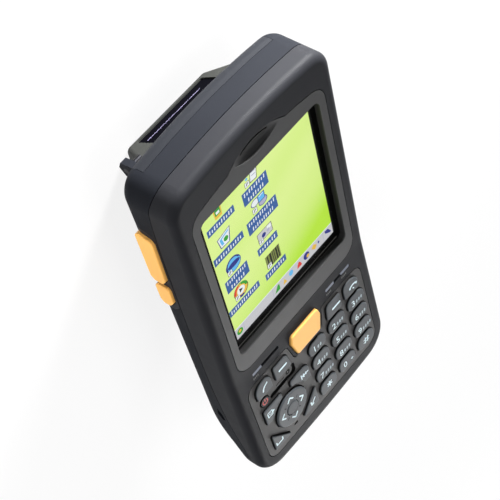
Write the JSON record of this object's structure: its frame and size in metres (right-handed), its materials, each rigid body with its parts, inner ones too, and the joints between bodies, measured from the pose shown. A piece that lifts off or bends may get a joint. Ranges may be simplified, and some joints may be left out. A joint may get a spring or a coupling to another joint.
{
  "type": "portable barcode data terminal",
  "caption": "Handheld barcode data terminal with a touch display, a raised keypad, orange scan keys, side keys and a scan head on its back.",
  "frame": {"origin": "bottom centre of the bounding box, under the scan head on which the terminal lies", "axes": "+X to the right of the screen, +Y toward the scan head end, +Z out of the screen"},
  "size_m": [0.0782, 0.1652, 0.0421],
  "materials": {
    "housing": "fine grained matte",
    "bezel": "fine grained matte",
    "keypad": "satin",
    "key": "satin",
    "orange": "satin",
    "black": "matte",
    "head": "fine grained matte",
    "strip": "smooth satin",
    "window": "polished dark",
    "screen_glass": "polished",
    "screen": "lit display face",
    "light": "frosted",
    "steel": "satin",
    "gold": "plated",
    "board": "solder mask",
    "rubber": "matte",
    "sheet": "film"
  },
  "bodies": {
    "terminal": {"antenna": "sheet", "backup_cell": "steel", "battery_contacts": "gold", "board_to_display_frame": "black", "display_bezel": "bezel", "display_gasket": "rubber", "display_module": "screen", "dock_connector": "black", "dock_pins": "gold", "dome_sheet": "sheet", "earpiece": "black", "front_housing": "housing", "head_strip": "strip", "housing_screws": "steel", "keypad_board": "board", "keypad_connector": "black", "keypad_panel": "keypad", "main_board": "board", "microphone": "steel", "processor_shield": "steel", "rear_housing": "housing", "scan_engine": "black", "scan_head_housing": "head", "scan_window": "window", "side_key_board": "board", "side_key_surround": "black", "status_lights": "light", "strap_bars": "steel", "strap_lugs": "black", "touch_panel": "screen_glass", "vibration_motor": "steel"},
    "moving_key_0": {"key_0": "key"},
    "moving_key_1": {"key_1": "key"},
    "moving_key_2": {"key_2": "key"},
    "moving_key_3": {"key_3": "key"},
    "moving_key_4": {"key_4": "key"},
    "moving_key_5": {"key_5": "key"},
    "moving_key_6": {"key_6": "key"},
    "moving_key_7": {"key_7": "key"},
    "moving_key_8": {"key_8": "key"},
    "moving_key_9": {"key_9": "key"},
    "moving_key_back": {"key_back": "key"},
    "moving_key_call": {"key_call": "key"},
    "moving_key_end": {"key_end": "key"},
    "moving_key_enter": {"key_enter": "key"},
    "moving_key_hash": {"key_hash": "key"},
    "moving_key_lock": {"key_lock": "key"},
    "moving_key_power": {"key_power": "key"},
    "moving_key_scan": {"key_scan": "orange"},
    "moving_key_soft_left": {"key_soft_left": "key"},
    "moving_key_soft_right": {"key_soft_right": "key"},
    "moving_key_space": {"key_space": "key"},
    "moving_key_star": {"key_star": "key"},
    "moving_nav_ring": {"nav_ring": "key"},
    "moving_nav_centre": {"nav_centre": "key"},
    "moving_side_rocker": {"side_rocker": "orange"},
    "moving_side_key": {"side_key": "orange"},
    "moving_battery_pack": {"battery_pack": "housing"},
    "moving_battery_latch": {"battery_latch": "black"}
  },
  "joints": [
    {"name": "key_0_press", "type": "slide", "parent": "terminal", "child": "moving_key_0", "axis": [0, -0.0436, -0.999], "range_m": [0, 0.0005], "stiffness_N_per_m": 600},
    {"name": "key_1_press", "type": "slide", "parent": "terminal", "child": "moving_key_1", "axis": [0, -0.0436, -0.999], "range_m": [0, 0.0005], "stiffness_N_per_m": 600},
    {"name": "key_2_press", "type": "slide", "parent": "terminal", "child": "moving_key_2", "axis": [0, -0.0436, -0.999], "range_m": [0, 0.0005], "stiffness_N_per_m": 600},
    {"name": "key_3_press", "type": "slide", "parent": "terminal", "child": "moving_key_3", "axis": [0, -0.0436, -0.999], "range_m": [0, 0.0005], "stiffness_N_per_m": 600},
    {"name": "key_4_press", "type": "slide", "parent": "terminal", "child": "moving_key_4", "axis": [0, -0.0436, -0.999], "range_m": [0, 0.0005], "stiffness_N_per_m": 600},
    {"name": "key_5_press", "type": "slide", "parent": "terminal", "child": "moving_key_5", "axis": [0, -0.0436, -0.999], "range_m": [0, 0.0005], "stiffness_N_per_m": 600},
    {"name": "key_6_press", "type": "slide", "parent": "terminal", "child": "moving_key_6", "axis": [0, -0.0436, -0.999], "range_m": [0, 0.0005], "stiffness_N_per_m": 600},
    {"name": "key_7_press", "type": "slide", "parent": "terminal", "child": "moving_key_7", "axis": [0, -0.0436, -0.999], "range_m": [0, 0.0005], "stiffness_N_per_m": 600},
    {"name": "key_8_press", "type": "slide", "parent": "terminal", "child": "moving_key_8", "axis": [0, -0.0436, -0.999], "range_m": [0, 0.0005], "stiffness_N_per_m": 600},
    {"name": "key_9_press", "type": "slide", "parent": "terminal", "child": "moving_key_9", "axis": [0, -0.0436, -0.999], "range_m": [0, 0.0005], "stiffness_N_per_m": 600},
    {"name": "key_back_press", "type": "slide", "parent": "terminal", "child": "moving_key_back", "axis": [0, -0.0436, -0.999], "range_m": [0, 0.0005], "stiffness_N_per_m": 600},
    {"name": "key_call_press", "type": "slide", "parent": "terminal", "child": "moving_key_call", "axis": [0, -0.0436, -0.999], "range_m": [0, 0.0005], "stiffness_N_per_m": 600},
    {"name": "key_end_press", "type": "slide", "parent": "terminal", "child": "moving_key_end", "axis": [0, -0.0436, -0.999], "range_m": [0, 0.0005], "stiffness_N_per_m": 600},
    {"name": "key_enter_press", "type": "slide", "parent": "terminal", "child": "moving_key_enter", "axis": [0, -0.0436, -0.999], "range_m": [0, 0.0005], "stiffness_N_per_m": 600},
    {"name": "key_hash_press", "type": "slide", "parent": "terminal", "child": "moving_key_hash", "axis": [0, -0.0436, -0.999], "range_m": [0, 0.0005], "stiffness_N_per_m": 600},
    {"name": "key_lock_press", "type": "slide", "parent": "terminal", "child": "moving_key_lock", "axis": [0, -0.0436, -0.999], "range_m": [0, 0.0005], "stiffness_N_per_m": 600},
    {"name": "key_power_press", "type": "slide", "parent": "terminal", "child": "moving_key_power", "axis": [0, -0.0436, -0.999], "range_m": [0, 0.0005], "stiffness_N_per_m": 600},
    {"name": "key_scan_press", "type": "slide", "parent": "terminal", "child": "moving_key_scan", "axis": [0, -0.0436, -0.999], "range_m": [0, 0.0005], "stiffness_N_per_m": 900},
    {"name": "key_soft_left_press", "type": "slide", "parent": "terminal", "child": "moving_key_soft_left", "axis": [0, -0.0436, -0.999], "range_m": [0, 0.0005], "stiffness_N_per_m": 600},
    {"name": "key_soft_right_press", "type": "slide", "parent": "terminal", "child": "moving_key_soft_right", "axis": [0, -0.0436, -0.999], "range_m": [0, 0.0005], "stiffness_N_per_m": 600},
    {"name": "key_space_press", "type": "slide", "parent": "terminal", "child": "moving_key_space", "axis": [0, -0.0436, -0.999], "range_m": [0, 0.0005], "stiffness_N_per_m": 600},
    {"name": "key_star_press", "type": "slide", "parent": "terminal", "child": "moving_key_star", "axis": [0, -0.0436, -0.999], "range_m": [0, 0.0005], "stiffness_N_per_m": 600},
    {"name": "nav_ring_press", "type": "slide", "parent": "terminal", "child": "moving_nav_ring", "axis": [0, -0.0436, -0.999], "range_m": [0, 0.0005], "stiffness_N_per_m": 600},
    {"name": "nav_centre_press", "type": "slide", "parent": "terminal", "child": "moving_nav_centre", "axis": [0, -0.0436, -0.999], "range_m": [0, 0.0005], "stiffness_N_per_m": 600},
    {"name": "side_rocker_tilt", "type": "hinge", "parent": "terminal", "child": "moving_side_rocker", "pos_m": [-0.03505, 0.046, 0.0226], "axis": [0, 0, 1], "range_deg": [-1.6, 1.6], "stiffness_Nm_per_rad": 0.25},
    {"name": "side_key_press", "type": "slide", "parent": "terminal", "child": "moving_side_key", "axis": [1, 0, 0], "range_m": [0, 0.0005], "stiffness_N_per_m": 900},
    {"name": "battery_lift", "type": "slide", "parent": "terminal", "child": "moving_battery_pack", "axis": [0, 0, -1], "range_m": [0, 0.012]},
    {"name": "latch_slide", "type": "slide", "parent": "terminal", "child": "moving_battery_latch", "axis": [0, -1, 0], "range_m": [0, 0.002], "stiffness_N_per_m": 300}
  ]
}
